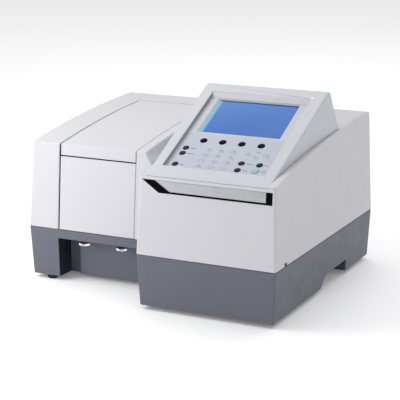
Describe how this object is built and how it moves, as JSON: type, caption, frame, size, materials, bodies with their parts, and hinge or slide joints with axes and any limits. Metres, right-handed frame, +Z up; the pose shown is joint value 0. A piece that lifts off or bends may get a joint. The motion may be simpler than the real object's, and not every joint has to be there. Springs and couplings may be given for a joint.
{
  "type": "spectrophotometer",
  "caption": "Benchtop ultraviolet and visible spectrophotometer with a hinged sample compartment lid and a sloping keypad console.",
  "frame": {"origin": "middle of the footprint's bounding box, on the surface that the feet stand on", "axes": "+X to the object's right, -Y its front, +Z up"},
  "size_m": [0.419, 0.381, 0.284],
  "materials": {
    "cover_white": "fine moulded texture, satin",
    "base_slate": "fine spark-eroded texture, matt",
    "console_white": "fine moulded texture, satin",
    "panel_pale": "smooth satin overlay",
    "screen_blue": "backlit blue liquid crystal under a clear window",
    "key_black": "smooth satin",
    "key_dark": "smooth satin",
    "key_pale": "smooth satin",
    "key_green": "smooth satin",
    "badge_black": "gloss black surround with a satin silver strip",
    "rubber_black": "matt moulded rubber",
    "chrome_bright": "bright plated",
    "steel_plain": "ground",
    "rear_sheet": "fine powder coat",
    "chamber_black": "matt black, light absorbing",
    "black_plastic": "moulded satin",
    "anodised_black": "black anodised",
    "cast_alloy": "as cast",
    "board_green": "solder resist",
    "clear_quartz": "polished",
    "lamp_glass": "clear envelope",
    "mirror_coat": "front coated",
    "led_white": "diffused lens"
  },
  "bodies": {
    "chassis": {"base_pan": "base_slate", "main_cover": "cover_white", "rear_panel": "rear_sheet", "foot_front_left": "rubber_black", "foot_front_right": "rubber_black", "foot_rear_left": "rubber_black", "foot_rear_right": "rubber_black", "console_housing": "console_white", "key_panel": "panel_pale", "lcd_screen": "screen_blue", "keypad_board": "board_green", "status_led": "led_white", "badge": "badge_black", "lid_hinge_pin": "steel_plain", "sample_compartment": "chamber_black", "cell_holder": "anodised_black", "power_inlet": "black_plastic", "fan_frame": "black_plastic", "optical_base": "cast_alloy", "halogen_lamp": "lamp_glass", "deuterium_lamp": "lamp_glass", "detector": "anodised_black", "main_board": "board_green"},
    "lid": {"compartment_lid": "cover_white"},
    "front_cover": {"front_panel": "cover_white"},
    "screw_left": {"thumbscrew_left": "chrome_bright"},
    "screw_right": {"thumbscrew_right": "chrome_bright"},
    "sample_cell": {"cuvette": "clear_quartz"},
    "rocker": {"power_switch": "black_plastic"},
    "fan": {"fan_rotor": "black_plastic"},
    "grating": {"grating_mount": "mirror_coat"},
    "flip_mirror": {"source_mirror": "mirror_coat"},
    "wheel": {"filter_wheel": "anodised_black"},
    "key_f1_cap": {"key_f1": "key_black"},
    "key_f2_cap": {"key_f2": "key_black"},
    "key_f3_cap": {"key_f3": "key_black"},
    "key_f4_cap": {"key_f4": "key_black"},
    "key_0_cap": {"key_0": "key_pale"},
    "key_1_cap": {"key_1": "key_pale"},
    "key_2_cap": {"key_2": "key_pale"},
    "key_3_cap": {"key_3": "key_pale"},
    "key_4_cap": {"key_4": "key_pale"},
    "key_5_cap": {"key_5": "key_pale"},
    "key_6_cap": {"key_6": "key_pale"},
    "key_7_cap": {"key_7": "key_pale"},
    "key_8_cap": {"key_8": "key_pale"},
    "key_9_cap": {"key_9": "key_pale"},
    "key_point_cap": {"key_point": "key_pale"},
    "key_sign_cap": {"key_sign": "key_pale"},
    "key_left_cap": {"key_left": "key_pale"},
    "key_right_cap": {"key_right": "key_pale"},
    "key_up_cap": {"key_up": "key_pale"},
    "key_down_cap": {"key_down": "key_pale"},
    "key_side_upper_cap": {"key_side_upper": "key_dark"},
    "key_side_middle_cap": {"key_side_middle": "key_dark"},
    "key_side_lower_cap": {"key_side_lower": "key_dark"},
    "key_clear_cap": {"key_clear": "key_dark"},
    "key_print_cap": {"key_print": "key_dark"},
    "key_return_cap": {"key_return": "key_dark"},
    "key_start_cap": {"key_start": "key_green"}
  },
  "joints": [
    {"name": "lid_hinge", "type": "hinge", "parent": "chassis", "child": "lid", "pos_m": [-0.0966, 0.1235, 0.2245], "axis": [-1, 0, 0], "range_deg": [0, 95]},
    {"name": "front_panel_slide", "type": "slide", "parent": "chassis", "child": "front_cover", "axis": [0, -1, 0], "range_m": [0, 0.06]},
    {"name": "screw_left_turn", "type": "hinge", "parent": "chassis", "child": "screw_left", "pos_m": [-0.124, -0.111, 0.06], "axis": [0, 0, 1], "continuous": true},
    {"name": "screw_right_turn", "type": "hinge", "parent": "chassis", "child": "screw_right", "pos_m": [-0.062, -0.111, 0.06], "axis": [0, 0, 1], "continuous": true},
    {"name": "cuvette_lift", "type": "slide", "parent": "chassis", "child": "sample_cell", "axis": [0, 0, 1], "range_m": [0, 0.045]},
    {"name": "rocker_tilt", "type": "hinge", "parent": "chassis", "child": "rocker", "pos_m": [0.122, 0.1822, 0.112], "axis": [1, 0, 0], "range_deg": [0, 14]},
    {"name": "fan_spin", "type": "hinge", "parent": "chassis", "child": "fan", "pos_m": [0.15, 0.1722, 0.162], "axis": [0, 1, 0], "continuous": true},
    {"name": "grating_turn", "type": "hinge", "parent": "chassis", "child": "grating", "pos_m": [0.07, -0.01, 0.095], "axis": [0, 0, 1], "range_deg": [-25, 40]},
    {"name": "mirror_turn", "type": "hinge", "parent": "chassis", "child": "flip_mirror", "pos_m": [0.105, 0.08, 0.095], "axis": [0, 0, 1], "range_deg": [0, 60]},
    {"name": "wheel_turn", "type": "hinge", "parent": "chassis", "child": "wheel", "pos_m": [-0.022, -0.062, 0.12], "axis": [1, 0, 0], "continuous": true},
    {"name": "key_f1_press", "type": "slide", "parent": "chassis", "child": "key_f1_cap", "axis": [0, 0.431, -0.9024], "range_m": [0, 0.0008], "stiffness_N_per_m": 500, "springref_m": -0.0003},
    {"name": "key_f2_press", "type": "slide", "parent": "chassis", "child": "key_f2_cap", "axis": [0, 0.431, -0.9024], "range_m": [0, 0.0008], "stiffness_N_per_m": 500, "springref_m": -0.0003},
    {"name": "key_f3_press", "type": "slide", "parent": "chassis", "child": "key_f3_cap", "axis": [0, 0.431, -0.9024], "range_m": [0, 0.0008], "stiffness_N_per_m": 500, "springref_m": -0.0003},
    {"name": "key_f4_press", "type": "slide", "parent": "chassis", "child": "key_f4_cap", "axis": [0, 0.431, -0.9024], "range_m": [0, 0.0008], "stiffness_N_per_m": 500, "springref_m": -0.0003},
    {"name": "key_0_press", "type": "slide", "parent": "chassis", "child": "key_0_cap", "axis": [0, 0.431, -0.9024], "range_m": [0, 0.0008], "stiffness_N_per_m": 500, "springref_m": -0.0003},
    {"name": "key_1_press", "type": "slide", "parent": "chassis", "child": "key_1_cap", "axis": [0, 0.431, -0.9024], "range_m": [0, 0.0008], "stiffness_N_per_m": 500, "springref_m": -0.0003},
    {"name": "key_2_press", "type": "slide", "parent": "chassis", "child": "key_2_cap", "axis": [0, 0.431, -0.9024], "range_m": [0, 0.0008], "stiffness_N_per_m": 500, "springref_m": -0.0003},
    {"name": "key_3_press", "type": "slide", "parent": "chassis", "child": "key_3_cap", "axis": [0, 0.431, -0.9024], "range_m": [0, 0.0008], "stiffness_N_per_m": 500, "springref_m": -0.0003},
    {"name": "key_4_press", "type": "slide", "parent": "chassis", "child": "key_4_cap", "axis": [0, 0.431, -0.9024], "range_m": [0, 0.0008], "stiffness_N_per_m": 500, "springref_m": -0.0003},
    {"name": "key_5_press", "type": "slide", "parent": "chassis", "child": "key_5_cap", "axis": [0, 0.431, -0.9024], "range_m": [0, 0.0008], "stiffness_N_per_m": 500, "springref_m": -0.0003},
    {"name": "key_6_press", "type": "slide", "parent": "chassis", "child": "key_6_cap", "axis": [0, 0.431, -0.9024], "range_m": [0, 0.0008], "stiffness_N_per_m": 500, "springref_m": -0.0003},
    {"name": "key_7_press", "type": "slide", "parent": "chassis", "child": "key_7_cap", "axis": [0, 0.431, -0.9024], "range_m": [0, 0.0008], "stiffness_N_per_m": 500, "springref_m": -0.0003},
    {"name": "key_8_press", "type": "slide", "parent": "chassis", "child": "key_8_cap", "axis": [0, 0.431, -0.9024], "range_m": [0, 0.0008], "stiffness_N_per_m": 500, "springref_m": -0.0003},
    {"name": "key_9_press", "type": "slide", "parent": "chassis", "child": "key_9_cap", "axis": [0, 0.431, -0.9024], "range_m": [0, 0.0008], "stiffness_N_per_m": 500, "springref_m": -0.0003},
    {"name": "key_point_press", "type": "slide", "parent": "chassis", "child": "key_point_cap", "axis": [0, 0.431, -0.9024], "range_m": [0, 0.0008], "stiffness_N_per_m": 500, "springref_m": -0.0003},
    {"name": "key_sign_press", "type": "slide", "parent": "chassis", "child": "key_sign_cap", "axis": [0, 0.431, -0.9024], "range_m": [0, 0.0008], "stiffness_N_per_m": 500, "springref_m": -0.0003},
    {"name": "key_left_press", "type": "slide", "parent": "chassis", "child": "key_left_cap", "axis": [0, 0.431, -0.9024], "range_m": [0, 0.0008], "stiffness_N_per_m": 500, "springref_m": -0.0003},
    {"name": "key_right_press", "type": "slide", "parent": "chassis", "child": "key_right_cap", "axis": [0, 0.431, -0.9024], "range_m": [0, 0.0008], "stiffness_N_per_m": 500, "springref_m": -0.0003},
    {"name": "key_up_press", "type": "slide", "parent": "chassis", "child": "key_up_cap", "axis": [0, 0.431, -0.9024], "range_m": [0, 0.0008], "stiffness_N_per_m": 500, "springref_m": -0.0003},
    {"name": "key_down_press", "type": "slide", "parent": "chassis", "child": "key_down_cap", "axis": [0, 0.431, -0.9024], "range_m": [0, 0.0008], "stiffness_N_per_m": 500, "springref_m": -0.0003},
    {"name": "key_side_upper_press", "type": "slide", "parent": "chassis", "child": "key_side_upper_cap", "axis": [0, 0.431, -0.9024], "range_m": [0, 0.0008], "stiffness_N_per_m": 500, "springref_m": -0.0003},
    {"name": "key_side_middle_press", "type": "slide", "parent": "chassis", "child": "key_side_middle_cap", "axis": [0, 0.431, -0.9024], "range_m": [0, 0.0008], "stiffness_N_per_m": 500, "springref_m": -0.0003},
    {"name": "key_side_lower_press", "type": "slide", "parent": "chassis", "child": "key_side_lower_cap", "axis": [0, 0.431, -0.9024], "range_m": [0, 0.0008], "stiffness_N_per_m": 500, "springref_m": -0.0003},
    {"name": "key_clear_press", "type": "slide", "parent": "chassis", "child": "key_clear_cap", "axis": [0, 0.431, -0.9024], "range_m": [0, 0.0008], "stiffness_N_per_m": 500, "springref_m": -0.0003},
    {"name": "key_print_press", "type": "slide", "parent": "chassis", "child": "key_print_cap", "axis": [0, 0.431, -0.9024], "range_m": [0, 0.0008], "stiffness_N_per_m": 500, "springref_m": -0.0003},
    {"name": "key_return_press", "type": "slide", "parent": "chassis", "child": "key_return_cap", "axis": [0, 0.431, -0.9024], "range_m": [0, 0.0008], "stiffness_N_per_m": 500, "springref_m": -0.0003},
    {"name": "key_start_press", "type": "slide", "parent": "chassis", "child": "key_start_cap", "axis": [0, 0.431, -0.9024], "range_m": [0, 0.0008], "stiffness_N_per_m": 500, "springref_m": -0.0003}
  ]
}
